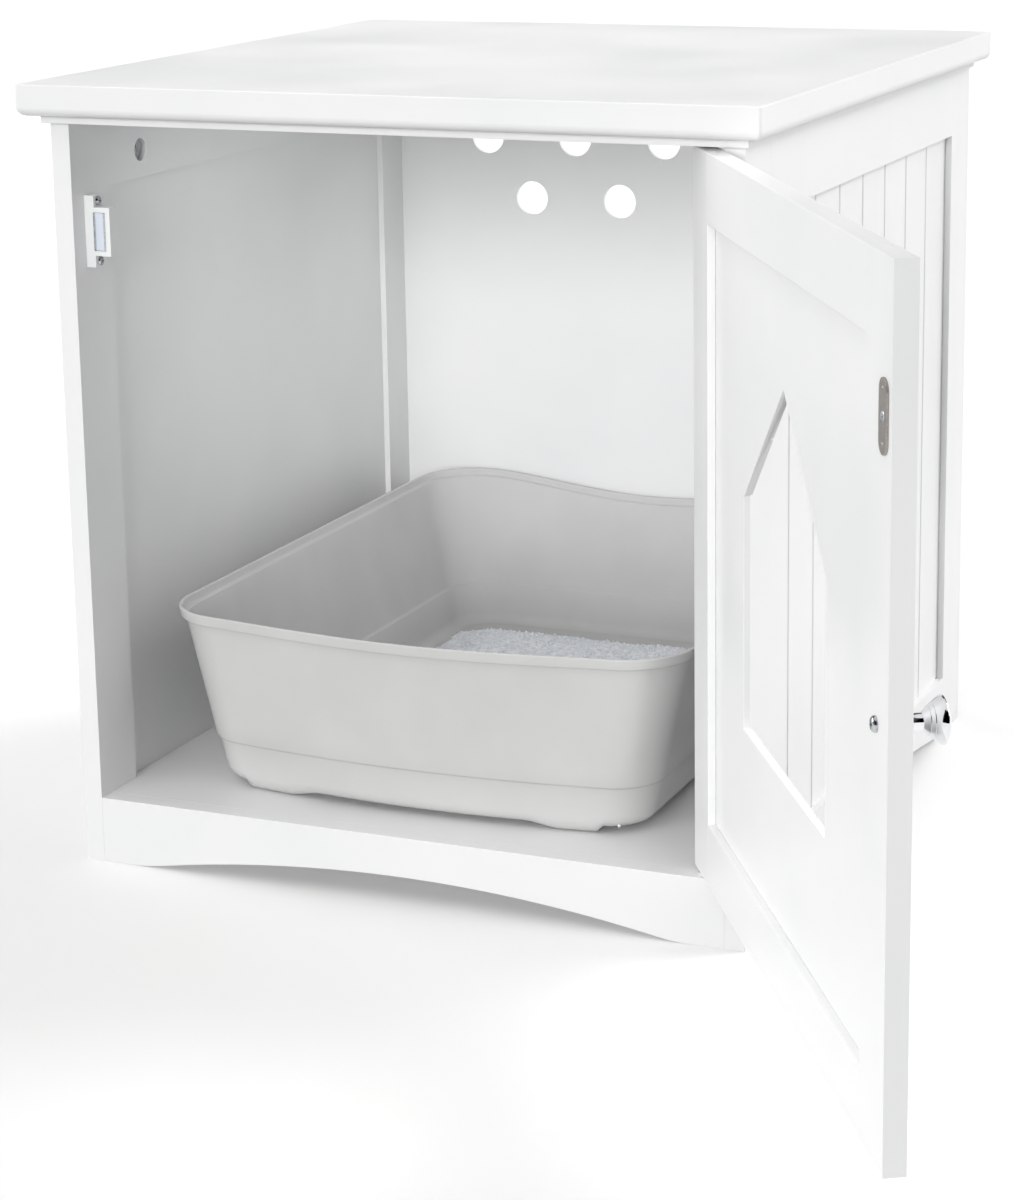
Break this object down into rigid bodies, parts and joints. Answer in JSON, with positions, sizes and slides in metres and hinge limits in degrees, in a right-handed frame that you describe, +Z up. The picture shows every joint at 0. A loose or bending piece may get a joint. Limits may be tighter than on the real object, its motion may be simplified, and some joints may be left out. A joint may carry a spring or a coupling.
{
  "type": "cat litter box cabinet",
  "caption": "Frame-and-panel cabinet hiding a litter tray: inset pivot-hung door with a gabled cat entry, vented back and arched feet.",
  "frame": {"origin": "on the ground, at the centre of the rectangle of the four feet", "axes": "+X to the right seen from the front, +Y to the back, +Z up"},
  "size_m": [0.686, 0.8431, 0.514],
  "materials": {
    "white_paint": "fibreboard and boards sprayed with semi-gloss white paint",
    "zinc_cam": "die-cast zinc cam lock, dull",
    "steel": "zinc-plated steel",
    "strike_steel": "nickel-plated steel plate",
    "beech": "plain turned beech",
    "nylon": "natural nylon",
    "catch_plastic": "white moulded plastic",
    "magnet": "ground magnet block",
    "chrome": "polished chrome plate",
    "tray_plastic": "satin light warm grey moulded plastic",
    "litter": "fine grey granules, given wood's density"
  },
  "bodies": {
    "cabinet": {"top_board": "white_paint", "sub_top": "white_paint", "right_front_stile": "white_paint", "right_rear_stile": "white_paint", "right_top_rail": "white_paint", "right_bottom_rail": "white_paint", "right_panel": "white_paint", "left_front_stile": "white_paint", "left_rear_stile": "white_paint", "left_top_rail": "white_paint", "left_bottom_rail": "white_paint", "left_panel": "white_paint", "front_apron": "white_paint", "rear_apron": "white_paint", "floor_board": "white_paint", "right_floor_cleat": "white_paint", "left_floor_cleat": "white_paint", "back_panel": "white_paint", "cam_locks": "zinc_cam", "cam_bolts": "steel", "wood_dowels": "beech", "cleat_screws": "steel", "floor_screws": "steel", "top_screws": "steel", "bottom_pivot_pin": "steel", "top_pivot_pin": "steel", "pivot_washer": "nylon", "catch_housing": "catch_plastic", "catch_blades": "steel", "catch_magnet": "magnet", "catch_screws": "steel"},
    "door": {"door_hinge_stile": "white_paint", "door_pivot_bushes": "nylon", "door_latch_stile": "white_paint", "door_bottom_rail": "white_paint", "door_top_rail": "white_paint", "door_panel": "white_paint", "door_knob": "chrome", "knob_screw": "steel", "strike_plate": "strike_steel", "strike_screw": "steel"},
    "tray": {"litter_tray": "tray_plastic", "litter_bed": "litter"}
  },
  "joints": [
    {"name": "door_hinge", "type": "hinge", "parent": "cabinet", "child": "door", "pos_m": [0.2023, -0.2391, 0], "axis": [0, 0, 1], "range_deg": [-121.75, 0]},
    {"name": "tray_slide", "type": "slide", "parent": "cabinet", "child": "tray", "axis": [0, -1, 0], "range_m": [-0.0027, 0.005]}
  ]
}
